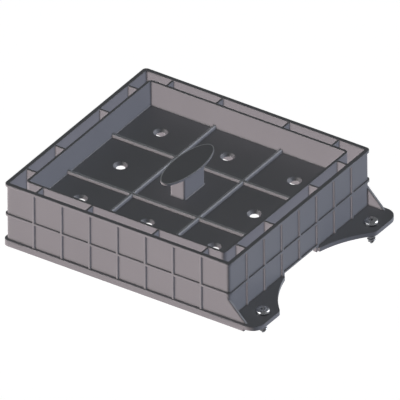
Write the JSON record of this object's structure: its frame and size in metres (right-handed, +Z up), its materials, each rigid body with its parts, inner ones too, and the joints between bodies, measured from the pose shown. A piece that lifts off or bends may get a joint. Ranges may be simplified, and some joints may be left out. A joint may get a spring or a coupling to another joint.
{
  "type": "floor drain cover",
  "caption": "Moulded floor drain cover: a ribbed double-walled box with a shallow pierced tray, an oval lifting handle on a post, and flat screwed ears along one side.",
  "frame": {"origin": "middle of the box, on the plane that the foot stands on", "axes": "+X towards the side with the screw ears, +Y along the shorter side of the box, +Z up, out of the floor"},
  "size_m": [0.1688, 0.1412, 0.051],
  "materials": {
    "moulded_plastic": "satin",
    "screw_steel": "bright plated"
  },
  "bodies": {
    "root": {"cover_body": "moulded_plastic", "mounting_screws": "screw_steel"}
  },
  "joints": []
}
